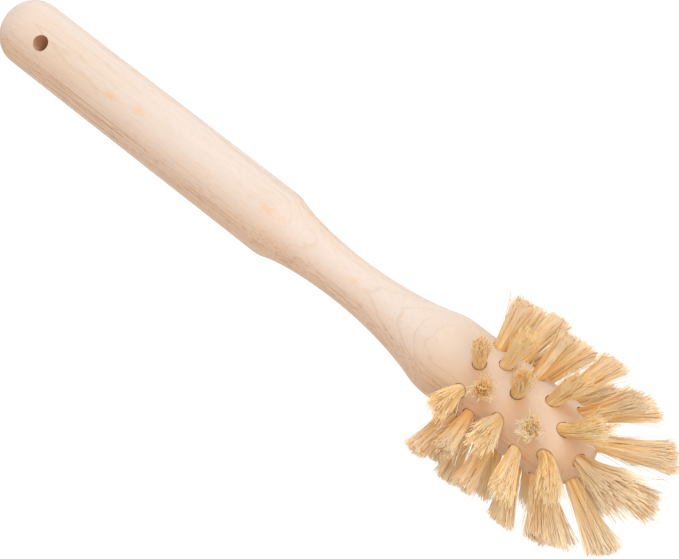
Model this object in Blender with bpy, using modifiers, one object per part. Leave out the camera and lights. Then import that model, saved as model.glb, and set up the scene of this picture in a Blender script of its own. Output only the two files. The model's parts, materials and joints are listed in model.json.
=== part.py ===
"""Bottle brush: one turned beech handle and head, set with rows of bristle tufts.

The brush is built along its own axis, with the domed butt at z = 0 and the head above it,
under an empty that lays it down on a table. At rest the butt and the lowest bristle tips
touch z = 0, the head end points to +X, and the hanging hole runs up and down.

Each tuft is a bundle of bristles folded over a wire staple: the fold fills a blind hole in
the head, the staple's two legs reach into the wood below it, and the strands fan out to a
trimmed outline. The staple is joined to the tuft that it holds.
"""

import math

import bmesh
import bpy
import numpy as np
from mathutils import Matrix, Vector

# Driving dimensions: lengths in metres, angles in degrees

# Turned body, from the butt to the tip
GRIP_DIAMETER = 0.0240
BUTT_DOME_LENGTH = 0.0109
GRIP_LENGTH = 0.1240
SHOULDER_LENGTH = 0.0045
SHOULDER_DROP = 0.00065
TAPER_SLOPE = 0.354
TAPER_LENGTH = 0.0285
NECK_DIAMETER = 0.0163
FLARE_LENGTH = 0.0365
FLARE_SLOPE = 0.306
HEAD_EDGE_LENGTH = 0.0075
HEAD_EDGE_DROP = 0.00105
HEAD_DIAMETER = 0.0281
HEAD_LENGTH = 0.0442
HEAD_END_DIAMETER = 0.0275
TIP_DOME_LENGTH = 0.0120
TIP_FLAT_DIAMETER = 0.0084

# Hanging hole, drilled across the grip
HANGING_HOLE_DIAMETER = 0.0057
HANGING_HOLE_STATION = 0.0219

# Tuft holes and what they hold
TUFT_HOLE_DIAMETER = 0.0048
TUFT_HOLE_DEPTH = 0.0060
END_HOLE_DEPTH = 0.0050
FIT_GAP = 0.0003
PLUG_STANDOUT = 0.0005
STAPLE_WIRE_DIAMETER = 0.0006
STAPLE_WIDTH = 0.0024
STAPLE_LEG_REACH = 0.0020

# Rows of tufts: distance of each row from the start of the full head, and its lean
# towards the tip. The last row sits on the dome, at its own radius.
TUFTS_PER_ROW = 8
TUFTS_IN_END_ROW = 4
ROW_A_STATION = 0.0120
ROW_B_STATION = 0.0184
ROW_C_STATION = 0.0274
ROW_D_STATION = 0.0372
ROW_E_STATION = 0.0465
END_ROW_RADIUS = 0.0070
ROW_A_LEAN = 0.0
ROW_B_LEAN = 12.0
ROW_C_LEAN = 12.0
ROW_D_LEAN = 21.0
ROW_E_LEAN = 43.0
END_ROW_LEAN = 62.0

# Strands of a tuft, and the outline that their tips are trimmed to
STRANDS_PER_TUFT = 10
STRAND_ROOT_RADIUS = 0.00030
STRAND_TIP_RADIUS = 0.00075
STRAND_ROOT_DEPTH = 0.0004
SIDE_FAN_ANGLE = 8.0
ROW_E_FAN_ANGLE = 10.0
END_FAN_ANGLE = 14.0
TRIM_DIAMETER = 0.0644
TRIM_DOME_START = 0.0446
TRIM_DOME_LENGTH = 0.0410

# How far the table flattens the lowest bristle tips
REST_FLAT_DEPTH = 0.0005

# Facets of the round shapes. The body's are turned by a quarter of one, so that no edge
# between two of them runs through the corners of a hole.
BODY_STEPS = 40
FACET_TURN = 2 * math.pi / BODY_STEPS / 4
HOLE_SIDES = 10
HANGING_HOLE_SIDES = 24
STRAND_SIDES = 3
STAPLE_SIDES = 4
SHARP_ANGLE = math.radians(35)
GOLDEN_TURN = math.radians(137.508)
MERGE_DISTANCE = 0.00001

# Sizes that follow from the driving dimensions
GRIP_RADIUS = GRIP_DIAMETER / 2
NECK_RADIUS = NECK_DIAMETER / 2
HEAD_RADIUS = HEAD_DIAMETER / 2
HEAD_END_RADIUS = HEAD_END_DIAMETER / 2
TAPER_START = GRIP_LENGTH + SHOULDER_LENGTH
NECK_STATION = TAPER_START + TAPER_LENGTH
FLARE_END = NECK_STATION + FLARE_LENGTH
HEAD_START = FLARE_END + HEAD_EDGE_LENGTH
HEAD_END = HEAD_START + HEAD_LENGTH
PLUG_RADIUS = TUFT_HOLE_DIAMETER / 2 - FIT_GAP
TRIM_RADIUS = TRIM_DIAMETER / 2
TRIM_DOME_STATION = HEAD_START + TRIM_DOME_START


def clear_scene():
    """Remove every object of the file that the script is run in."""
    for obj in list(bpy.data.objects):
        bpy.data.objects.remove(obj, do_unlink=True)


def new_collection(name):
    """Add a collection to the scene."""
    collection = bpy.data.collections.new(name)
    bpy.context.scene.collection.children.link(collection)
    return collection


def new_material(name, colour, roughness, metallic=0.0):
    """A Principled BSDF material of one colour."""
    material = bpy.data.materials.new(name)
    material.use_nodes = True
    shader = material.node_tree.nodes["Principled BSDF"]
    shader.inputs["Base Color"].default_value = (*colour, 1.0)
    shader.inputs["Roughness"].default_value = roughness
    shader.inputs["Metallic"].default_value = metallic
    material.diffuse_color = (*colour, 1.0)
    return material


def mesh_object(name, bm, collection, parent=None):
    """Turn a bmesh into an object of a collection, under a parent."""
    mesh = bpy.data.meshes.new(name)
    bm.to_mesh(mesh)
    bm.free()
    mesh.shade_smooth()
    mesh.set_sharp_from_angle(angle=SHARP_ANGLE)
    obj = bpy.data.objects.new(name, mesh)
    collection.objects.link(obj)
    obj.parent = parent
    return obj


def mark_as_cutter(obj):
    """Show a helper solid as a wire and leave it out of renders."""
    obj.hide_render = True
    obj.display_type = "WIRE"


def add_boolean(obj, operation, other):
    """Cut another solid out of an object, or join it on."""
    modifier = obj.modifiers.new(f"{operation.lower()}_{other.name}", "BOOLEAN")
    modifier.operation = operation
    modifier.solver = "EXACT"
    modifier.object = other


def bezier(points, count):
    """Points along a Bezier curve of any degree, without its first one."""
    degree = len(points) - 1
    curve = []
    for step in range(1, count + 1):
        t = step / count
        weights = [math.comb(degree, k) * t**k * (1 - t) ** (degree - k) for k in range(degree + 1)]
        curve.append(tuple(sum(w * p[axis] for w, p in zip(weights, points)) for axis in (0, 1)))
    return curve


def dome(centre, radius, length, first, last, count):
    """Points (station, radius) of a quarter ellipse, between two angles from its rim."""
    angles = np.radians(np.linspace(first, last, count))
    return [(centre + length * math.sin(a), radius * math.cos(a)) for a in angles]


def tip_flat_angle():
    """Angle on the tip's dome, in degrees from its rim, where the flat end begins."""
    return math.degrees(math.acos(TIP_FLAT_DIAMETER / 2 / HEAD_END_RADIUS))


def body_profile():
    """Outline of the turned body as (station, radius), from the butt to the tip."""
    butt = dome(BUTT_DOME_LENGTH, GRIP_RADIUS, BUTT_DOME_LENGTH, -90, 0, 7)
    butt[0] = (0.0, 0.0)
    grip_end = (GRIP_LENGTH, GRIP_RADIUS)
    taper_start = (TAPER_START, GRIP_RADIUS - SHOULDER_DROP)
    shoulder = [grip_end, (TAPER_START - SHOULDER_DROP / TAPER_SLOPE, GRIP_RADIUS), taper_start]
    neck = (NECK_STATION, NECK_RADIUS)
    pull = 0.19 * TAPER_LENGTH
    taper = [
        taper_start,
        (TAPER_START + pull, taper_start[1] - pull * TAPER_SLOPE),
        (NECK_STATION - 0.39 * TAPER_LENGTH, NECK_RADIUS),
        neck,
    ]
    flare_end = (FLARE_END, HEAD_RADIUS - HEAD_EDGE_DROP)
    pull = 0.23 * FLARE_LENGTH
    flare = [
        neck,
        (NECK_STATION + 0.41 * FLARE_LENGTH, NECK_RADIUS),
        (FLARE_END - pull, flare_end[1] - pull * FLARE_SLOPE),
        flare_end,
    ]
    head_start = (HEAD_START, HEAD_RADIUS)
    edge = [flare_end, (FLARE_END + HEAD_EDGE_DROP / FLARE_SLOPE, HEAD_RADIUS), head_start]
    tip = dome(HEAD_END, HEAD_END_RADIUS, TIP_DOME_LENGTH, 0, tip_flat_angle(), 7)
    outline = butt + [grip_end] + bezier(shoulder, 4) + bezier(taper, 7)
    outline += bezier(flare, 8) + bezier(edge, 3) + tip
    return outline + [(tip[-1][0], 0.0)]


def head_radius(station):
    """Radius of the head at a station, on its barrel or on its dome."""
    if station <= HEAD_END:
        share = (station - HEAD_START) / HEAD_LENGTH
        return HEAD_RADIUS + share * (HEAD_END_RADIUS - HEAD_RADIUS)
    share = (station - HEAD_END) / TIP_DOME_LENGTH
    return HEAD_END_RADIUS * math.sqrt(1 - share * share)


def end_row_station():
    """Station on the dome where its radius is the end row's."""
    share = END_ROW_RADIUS / HEAD_END_RADIUS
    return HEAD_END + TIP_DOME_LENGTH * math.sqrt(1 - share * share)


def tuft_rows():
    """Rows as (letter, tufts, first angle, station, radius, lean, depth, fan angle)."""
    half_turn = 180.0 / TUFTS_PER_ROW
    rows = []
    side_rows = (
        ("a", half_turn, ROW_A_STATION, ROW_A_LEAN, SIDE_FAN_ANGLE),
        ("b", 0.0, ROW_B_STATION, ROW_B_LEAN, SIDE_FAN_ANGLE),
        ("c", half_turn, ROW_C_STATION, ROW_C_LEAN, SIDE_FAN_ANGLE),
        ("d", 0.0, ROW_D_STATION, ROW_D_LEAN, SIDE_FAN_ANGLE),
        ("e", half_turn, ROW_E_STATION, ROW_E_LEAN, ROW_E_FAN_ANGLE),
    )
    for letter, first, offset, lean, fan in side_rows:
        station = HEAD_START + offset
        radius = head_radius(station)
        rows.append((letter, TUFTS_PER_ROW, first, station, radius, lean, TUFT_HOLE_DEPTH, fan))
    rows.append(("f", TUFTS_IN_END_ROW, 0.0, end_row_station(), END_ROW_RADIUS,
                 END_ROW_LEAN, END_HOLE_DEPTH, END_FAN_ANGLE))
    return rows


def tuft_seats():
    """Every tuft's name, seat, hole depth and fan angle.

    A seat is a matrix: its origin is the middle of the hole's mouth, its Z axis points out
    along the hole, and its X axis lies in the plane of the brush axis.
    """
    axis = Vector((0, 0, 1))
    seats = []
    for letter, count, first, station, radius, lean, depth, fan in tuft_rows():
        for number in range(count):
            turn = math.radians(first + number * 360.0 / count)
            outward = Vector((-math.cos(turn), math.sin(turn), 0))
            tilt = math.radians(lean)
            along = outward * math.cos(tilt) + axis * math.sin(tilt)
            across = axis * math.cos(tilt) - outward * math.sin(tilt)
            side = along.cross(across)
            seat = Matrix((across, side, along)).transposed().to_4x4()
            seat.translation = outward * radius + axis * station
            seats.append((f"tuft_{letter}{number + 1}", seat, depth, math.radians(fan)))
    return seats


def add_prism(bm, sides, start_radius, end_radius, start, end):
    """Add a closed cone or prism between two points."""
    middle = (start + end) / 2
    turn = (end - start).to_track_quat("Z", "Y").to_matrix().to_4x4()
    bmesh.ops.create_cone(
        bm,
        cap_ends=True,
        cap_tris=False,
        segments=sides,
        radius1=start_radius,
        radius2=end_radius,
        depth=(end - start).length,
        matrix=Matrix.Translation(middle) @ turn,
    )


def trimmed_length(origin, direction):
    """How far a strand runs from a point, in brush coordinates, to the trimmed outline."""
    short = 0.0
    long = TRIM_DIAMETER + TRIM_DOME_LENGTH
    for _ in range(40):
        length = (short + long) / 2
        point = origin + direction * length
        across = math.hypot(point.x, point.y) / TRIM_RADIUS
        along = max(0.0, point.z - TRIM_DOME_STATION) / TRIM_DOME_LENGTH
        if math.hypot(across, along) < 1:
            short = length
        else:
            long = length
    return length


def strand_lines(seat, fan, first_turn):
    """Start and end of each strand in the seat's own coordinates.

    Strands are spread over the plug's top like the seeds of a sunflower, each turned by the
    golden angle, and lean outwards in step with their distance from the middle.
    """
    spread = PLUG_RADIUS * math.cos(math.pi / HOLE_SIDES) - STRAND_ROOT_RADIUS
    lines = []
    for number in range(STRANDS_PER_TUFT):
        share = math.sqrt((number + 0.5) / STRANDS_PER_TUFT)
        turn = first_turn + number * GOLDEN_TURN
        out = Vector((math.cos(turn), math.sin(turn), 0))
        lean = fan * share
        direction = (out * math.sin(lean) + Vector((0, 0, 1)) * math.cos(lean)).normalized()
        root = out * spread * share + Vector((0, 0, PLUG_STANDOUT))
        length = trimmed_length(seat @ root, seat.to_3x3() @ direction)
        lines.append((root - direction * STRAND_ROOT_DEPTH, root + direction * length))
    return lines


def build_strands(name, seat, fan, first_turn, collection, parent):
    """The loose strands of one tuft, ready to be joined to its plug."""
    bm = bmesh.new()
    for start, end in strand_lines(seat, fan, first_turn):
        add_prism(bm, STRAND_SIDES, STRAND_ROOT_RADIUS, STRAND_TIP_RADIUS, start, end)
    obj = mesh_object(f"{name}_strands", bm, collection, parent)
    obj.matrix_local = seat
    mark_as_cutter(obj)
    return obj


def build_staple_legs(name, seat, depth, collection, parent):
    """The two legs of a staple, from inside the folded tuft down into the wood."""
    bm = bmesh.new()
    for side in (-1, 1):
        foot = Vector((side * STAPLE_WIDTH / 2, 0, -depth - STAPLE_LEG_REACH))
        crown = Vector((side * STAPLE_WIDTH / 2, 0, -depth / 2))
        add_prism(bm, STAPLE_SIDES, STAPLE_WIRE_DIAMETER / 2, STAPLE_WIRE_DIAMETER / 2, foot, crown)
    obj = mesh_object(f"{name}_staple", bm, collection, parent)
    obj.matrix_local = seat
    mark_as_cutter(obj)
    return obj


def build_tuft(name, seat, depth, strands, staple, material, collection, parent):
    """One tuft: the folded plug in its hole, joined to its staple legs and its strands."""
    bm = bmesh.new()
    bottom = Vector((0, 0, FIT_GAP - depth))
    top = Vector((0, 0, PLUG_STANDOUT))
    add_prism(bm, HOLE_SIDES, PLUG_RADIUS, PLUG_RADIUS, bottom, top)
    obj = mesh_object(name, bm, collection, parent)
    obj.matrix_local = seat
    obj.data.materials.append(material)
    add_boolean(obj, "UNION", staple)
    add_boolean(obj, "UNION", strands)
    return obj


def build_hole_cutters(seats, collection, parent):
    """All blind tuft holes as one cutter, and the sockets of the staple legs as another."""
    holes = bmesh.new()
    sockets = bmesh.new()
    hole_radius = TUFT_HOLE_DIAMETER / 2
    socket_radius = STAPLE_WIRE_DIAMETER / 2 + FIT_GAP
    socket_end = STAPLE_LEG_REACH + FIT_GAP
    for _, seat, depth, _ in seats:
        bottom = seat @ Vector((0, 0, -depth))
        mouth = seat @ Vector((0, 0, TUFT_HOLE_DIAMETER))
        add_prism(holes, HOLE_SIDES, hole_radius, hole_radius, bottom, mouth)
        for side in (-1, 1):
            foot = seat @ Vector((side * STAPLE_WIDTH / 2, 0, -depth - socket_end))
            inside = seat @ Vector((side * STAPLE_WIDTH / 2, 0, -depth / 2))
            add_prism(sockets, STAPLE_SIDES, socket_radius, socket_radius, foot, inside)
    cutters = []
    for name, bm in (("tuft_holes", holes), ("staple_sockets", sockets)):
        cutter = mesh_object(name, bm, collection, parent)
        mark_as_cutter(cutter)
        cutters.append(cutter)
    return cutters


def build_hanging_hole_cutter(collection, parent):
    """The hole across the grip, which runs up and down when the brush lies on its side."""
    bm = bmesh.new()
    radius = HANGING_HOLE_DIAMETER / 2
    start = Vector((-GRIP_DIAMETER, 0, HANGING_HOLE_STATION))
    end = Vector((GRIP_DIAMETER, 0, HANGING_HOLE_STATION))
    add_prism(bm, HANGING_HOLE_SIDES, radius, radius, start, end)
    cutter = mesh_object("hanging_hole", bm, collection, parent)
    mark_as_cutter(cutter)
    return cutter


def build_body(profile, material, collection, parent):
    """The turned body, from its outline near +X, run from the tip down to the butt."""
    bm = bmesh.new()
    across = math.cos(FACET_TURN)
    side = math.sin(FACET_TURN)
    points = [bm.verts.new((r * across, r * side, station)) for station, r in reversed(profile)]
    for first, second in zip(points, points[1:]):
        bm.edges.new((first, second))
    obj = mesh_object("beech_handle", bm, collection, parent)
    obj.data.materials.append(material)
    screw = obj.modifiers.new("turned", "SCREW")
    screw.axis = "Z"
    screw.angle = 2 * math.pi
    screw.steps = BODY_STEPS
    screw.render_steps = BODY_STEPS
    screw.use_merge_vertices = True
    screw.merge_threshold = MERGE_DISTANCE
    screw.use_smooth_shade = True
    return obj


def laid_down(points, tilt):
    """Brush points as they lie when the brush axis rises by a tilt from level along +X."""
    across, side, along = points.T
    ahead = across * math.sin(tilt) + along * math.cos(tilt)
    height = along * math.sin(tilt) - across * math.cos(tilt)
    return np.stack((ahead, side, height), axis=1)


def resting_tilt(body_points, tip_points):
    """Tilt at which the table flattens the lowest bristle tips by REST_FLAT_DEPTH.

    The table touches the butt. The steeper the brush lies, the higher its tips are.
    """
    low = 0.0
    high = math.radians(45)
    for _ in range(40):
        tilt = (low + high) / 2
        table = laid_down(body_points, tilt)[:, 2].min()
        if laid_down(tip_points, tilt)[:, 2].min() < table - REST_FLAT_DEPTH:
            low = tilt
        else:
            high = tilt
    return tilt


def lay_on_table(frame, body_points, tip_points):
    """Turn and shift the empty so that the brush rests at z = 0, centred over the origin."""
    tilt = resting_tilt(body_points, tip_points)
    body = laid_down(body_points, tilt)
    everything = np.concatenate((body, laid_down(tip_points, tilt)))
    middle = (everything.min(axis=0) + everything.max(axis=0)) / 2
    frame.rotation_euler = (0, math.pi / 2 - tilt, 0)
    frame.location = (-middle[0], -middle[1], -body[:, 2].min())


def build_table_cutter(collection):
    """A block under z = 0, which flattens the bristle tips that the brush lies on."""
    size = 2 * TRIM_DIAMETER
    length = 2 * (HEAD_END + TRIM_DIAMETER)
    bm = bmesh.new()
    bmesh.ops.create_cube(bm, size=1.0)
    bmesh.ops.scale(bm, vec=(length, size, size), verts=bm.verts)
    bmesh.ops.translate(bm, vec=(0, 0, -size / 2), verts=bm.verts)
    cutter = mesh_object("table", bm, collection)
    mark_as_cutter(cutter)
    return cutter


def seated_points(obj, seat):
    """A mesh object's vertices in brush coordinates, from the seat that it lies on."""
    flat = np.empty(len(obj.data.vertices) * 3)
    obj.data.vertices.foreach_get("co", flat)
    turn = np.array(seat)
    return flat.reshape(-1, 3) @ turn[:3, :3].T + turn[:3, 3]


def profile_points(profile):
    """The body's outline on its upper and lower side, in brush coordinates."""
    return np.array([(side * radius, 0, station) for station, radius in profile for side in (-1, 1)])


def main():
    """Build the brush and lay it down."""
    clear_scene()
    parts = new_collection("bottle_brush")
    cutters = new_collection("cutters")
    beech = new_material("beech", (0.75, 0.57, 0.44), 0.55)
    bristle = new_material("bristle", (0.70, 0.45, 0.20), 0.6)

    frame = bpy.data.objects.new("brush_frame", None)
    parts.objects.link(frame)

    profile = body_profile()
    body = build_body(profile, beech, parts, frame)
    seats = tuft_seats()
    for cutter in build_hole_cutters(seats, cutters, frame):
        add_boolean(body, "DIFFERENCE", cutter)
    add_boolean(body, "DIFFERENCE", build_hanging_hole_cutter(cutters, frame))

    tufts = []
    for number, (name, seat, depth, fan) in enumerate(seats):
        strands = build_strands(name, seat, fan, number, cutters, frame)
        staple = build_staple_legs(name, seat, depth, cutters, frame)
        tuft = build_tuft(name, seat, depth, strands, staple, bristle, parts, frame)
        tufts.append((tuft, seated_points(strands, seat)))

    tip_points = np.concatenate([points for _, points in tufts])
    lay_on_table(frame, profile_points(profile), tip_points)
    bpy.context.view_layer.update()

    table = build_table_cutter(cutters)
    place = np.array(frame.matrix_world)
    for tuft, points in tufts:
        heights = points @ place[2, :3] + place[2, 3]
        if heights.min() < -MERGE_DISTANCE:
            add_boolean(tuft, "DIFFERENCE", table)


main()
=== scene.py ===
"""Looks of a bottle brush: a turned beech handle with 44 tufts of blond bristle.

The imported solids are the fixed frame. The handle gets a finer turned surface with the same
outline, and every tuft gets its bristles, which fold under a steel staple at the bottom of
a drilled hole. Lengths are in metres and angles in degrees, unless a name says otherwise.

Brush coordinates are (side, up, along): side is +Y of the shared frame, up runs from the
axis through the hanging hole, and along runs from the domed butt to the head's tip. A turn
round the axis is measured from up towards side.
"""

from __future__ import annotations

import json
import logging
import math
from collections.abc import Sequence
from dataclasses import dataclass, field
from enum import Enum

import bpy
import numpy as np
from mathutils import Matrix, Vector


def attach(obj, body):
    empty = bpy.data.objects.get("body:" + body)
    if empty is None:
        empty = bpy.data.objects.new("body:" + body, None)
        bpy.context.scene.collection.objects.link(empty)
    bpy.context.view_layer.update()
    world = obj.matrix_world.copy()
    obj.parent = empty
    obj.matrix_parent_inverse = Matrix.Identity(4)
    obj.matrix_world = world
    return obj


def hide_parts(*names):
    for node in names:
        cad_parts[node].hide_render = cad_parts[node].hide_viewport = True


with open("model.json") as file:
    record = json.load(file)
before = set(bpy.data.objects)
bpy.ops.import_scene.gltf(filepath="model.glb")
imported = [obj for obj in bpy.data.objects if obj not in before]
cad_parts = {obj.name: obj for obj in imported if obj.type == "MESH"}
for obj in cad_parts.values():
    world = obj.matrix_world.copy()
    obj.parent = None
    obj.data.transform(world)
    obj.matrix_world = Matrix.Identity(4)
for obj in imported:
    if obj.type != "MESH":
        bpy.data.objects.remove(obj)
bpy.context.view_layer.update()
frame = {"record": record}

LOG = logging.getLogger("bottle_brush")
BODY = "root"
GOLDEN_TURN = math.radians(137.508)
NOISE_MIDDLE = 0.5
# The Mix node's sockets for colours: share, first and second, and the result.
MIX_INPUTS = (0, 6, 7)
MIX_OUTPUT = 2

Array = np.ndarray
Colour = tuple[float, float, float]
Scale = tuple[float, float, float]
Span = tuple[float, ...]
Socket = bpy.types.NodeSocket


class Slot(Enum):
    """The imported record's material slots."""

    BEECH = "beech"
    BRISTLE = "bristle"
    STAPLE = "staple_wire"


class Attribute(Enum):
    """What each bristle's points carry for the bristle finish."""

    RUN = "bristle_run"
    TINT = "bristle_tint"


class HandleFace(Enum):
    """Order of the materials on the handle."""

    TURNED = 0
    BORE = 1
    SEAT = 2


def unit(vectors: Array) -> Array:
    """Vectors scaled to length one."""
    return vectors / np.linalg.norm(vectors, axis=-1, keepdims=True)


def turned(turn: float) -> tuple[float, float]:
    """The direction at a turn in degrees, as (side, up)."""
    angle = math.radians(turn)
    return math.sin(angle), math.cos(angle)


def sunflower(count: int, radius: float) -> Array:
    """Points spread evenly over a disc.

    Point i lies at radius sqrt((i + 1/2) / count) and is turned by i golden angles.

    Args:
        count: how many points.
        radius: the disc's radius.

    Returns:
        Points as (count, 2).
    """
    index = np.arange(count)
    reach = radius * np.sqrt((index + 0.5) / count)
    turn = index * GOLDEN_TURN
    return np.stack((reach * np.cos(turn), reach * np.sin(turn)), axis=-1)


def bezier(controls: Sequence[tuple[float, float]], count: int) -> Array:
    """Points along a Bezier curve, without its first one.

    Each point is the sum of the controls, each times its Bernstein weight
    C(n, k) t^k (1 - t)^(n - k).

    Args:
        controls: the curve's control points, as (station, radius).
        count: how many points.

    Returns:
        Points as (count, 2).
    """
    degree = len(controls) - 1
    order = np.arange(degree + 1)
    choose = np.array([math.comb(degree, k) for k in order])
    t = np.linspace(0, 1, count + 1)[1:, None]
    return (choose * t**order * (1 - t) ** (degree - order)) @ np.array(controls)


def quarter_ellipse(centre: float, radius: float, length: float,
                    angles: Array) -> Array:
    """Points of a dome's outline: (centre + length sin a, radius cos a).

    Args:
        centre: station of the dome's rim.
        radius: radius at the rim.
        length: how far the dome reaches along the axis.
        angles: angles from the rim, in radians.

    Returns:
        Points as (len(angles), 2), each (station, radius).
    """
    return np.stack((centre + length * np.sin(angles), radius * np.cos(angles)), axis=-1)


def mesh_from_arrays(name: str, points: Array, face_groups: Sequence[Array]) -> bpy.types.Mesh:
    """A mesh from whole arrays.

    Args:
        name: the mesh's name.
        points: places in the shared frame, (N, 3).
        face_groups: faces with alike corner counts, one array (F, corners) for each count.

    Returns:
        The mesh, shaded smooth.
    """
    corners = np.concatenate([group.ravel() for group in face_groups]).astype(np.int32)
    counts = np.concatenate([np.full(len(group), group.shape[1]) for group in face_groups])
    starts = (np.cumsum(counts) - counts).astype(np.int32)
    mesh = bpy.data.meshes.new(name)
    mesh.vertices.add(len(points))
    mesh.vertices.foreach_set("co", np.ascontiguousarray(points, np.float32).ravel())
    mesh.loops.add(len(corners))
    mesh.loops.foreach_set("vertex_index", corners)
    mesh.polygons.add(len(starts))
    mesh.polygons.foreach_set("loop_start", starts)
    mesh.update(calc_edges=True)
    mesh.validate()
    mesh.shade_smooth()
    return mesh


def lathe(outline: Array, steps: int) -> tuple[Array, list[Array]]:
    """Turn an outline round the axis into a closed surface.

    The point at outline point i and turn t is (r_i sin t, r_i cos t, s_i). The outline's two
    ends lie on the axis, and each becomes one pole.

    Args:
        outline: (station, radius) from the butt to the tip.
        steps: facets round the axis.

    Returns:
        Points in brush coordinates, and the quads and triangles, which face outwards.
    """
    turn = np.arange(steps) * 2 * math.pi / steps
    station = np.repeat(outline[1:-1, 0], steps)
    radius = outline[1:-1, 1, None]
    rings = np.stack(((radius * np.sin(turn)).ravel(), (radius * np.cos(turn)).ravel(), station),
                     axis=-1)
    poles = np.array([(0, 0, outline[0, 0]), (0, 0, outline[-1, 0])])
    grid = np.arange(len(rings)).reshape(-1, steps)
    following = np.roll(grid, -1, axis=1)
    quads = np.stack((grid[:-1], grid[1:], following[1:], following[:-1]), axis=-1)
    butt, tip = len(rings), len(rings) + 1
    first = np.stack((np.full(steps, butt), grid[0], following[0]), axis=-1)
    last = np.stack((np.full(steps, tip), following[-1], grid[-1]), axis=-1)
    return np.concatenate((rings, poles)), [quads.reshape(-1, 4), first, last]


def swept_tubes(paths: Array, radii: Array, sides: int,
                reference: Array) -> tuple[Array, list[Array]]:
    """Carry a polygon along many paths at once.

    Corner k at path point p is p + r (n cos a_k + (t x n) sin a_k), where t is the path's
    direction, n is the reference made square to t, and a_k is k turns over the side count.

    Args:
        paths: centrelines, (tubes, points, 3).
        radii: radius at each point, (tubes, points).
        sides: corners of the polygon.
        reference: a direction that no path runs along.

    Returns:
        Points, and the quads and end faces, which face outwards.
    """
    ahead = unit(np.gradient(paths, axis=1))
    normal = unit(reference - (ahead @ reference)[..., None] * ahead)
    beside = np.cross(ahead, normal)
    angle = np.arange(sides) * 2 * math.pi / sides
    ring = np.cos(angle)[:, None] * normal[:, :, None] + np.sin(angle)[:, None] * beside[:, :, None]
    points = paths[:, :, None] + radii[:, :, None, None] * ring
    grid = np.arange(points.size // 3).reshape(points.shape[:3])
    following = np.roll(grid, -1, axis=2)
    quads = np.stack((grid[:, :-1], following[:, :-1], following[:, 1:], grid[:, 1:]), axis=-1)
    caps = np.concatenate((grid[:, 0, ::-1], grid[:, -1]))
    return points.reshape(-1, 3), [quads.reshape(-1, 4), caps]


@dataclass(frozen=True)
class BrushAxes:
    """Where the brush lies in the shared frame.

    The rows of turn are the directions side, up and along.
    """

    butt: Array
    turn: Array

    @classmethod
    def from_mounts(cls, record: dict, length: float) -> BrushAxes:
        """Read the brush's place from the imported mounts.

        Args:
            record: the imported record.
            length: length of the wood from butt to tip.

        Returns:
            The axes, with the butt's end as their origin.
        """
        mounts = {mount["name"]: mount for mount in record["mounts"]}
        along = unit(np.array(mounts["head_tip"]["axis"], float))
        hole = np.array(mounts["hanging_hole"]["axis"], float)
        up = unit(hole - (hole @ along) * along)
        butt = np.array(mounts["head_tip"]["pos_m"], float) - length * along
        return cls(butt, np.stack((np.cross(up, along), up, along)))

    def place(self, points: Array) -> Array:
        """Brush coordinates turned into the shared frame."""
        return self.butt + points @ self.turn

    def direction(self, turn: float) -> Array:
        """A direction square to the axis, in the shared frame, at a turn in degrees."""
        side, up = turned(turn)
        return side * self.turn[0] + up * self.turn[1]


@dataclass(frozen=True)
class Noise:
    """A noise, stretched along the three axes, and the ramp that its values go through.

    The ramp is two or four numbers, in the order that NodeSheet.ramp takes them. Without it
    the noise's values stay between 0 and 1.
    """

    scale: Scale
    detail: float = 2.0
    roughness: float = 0.5
    ramp: Span = ()


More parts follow.
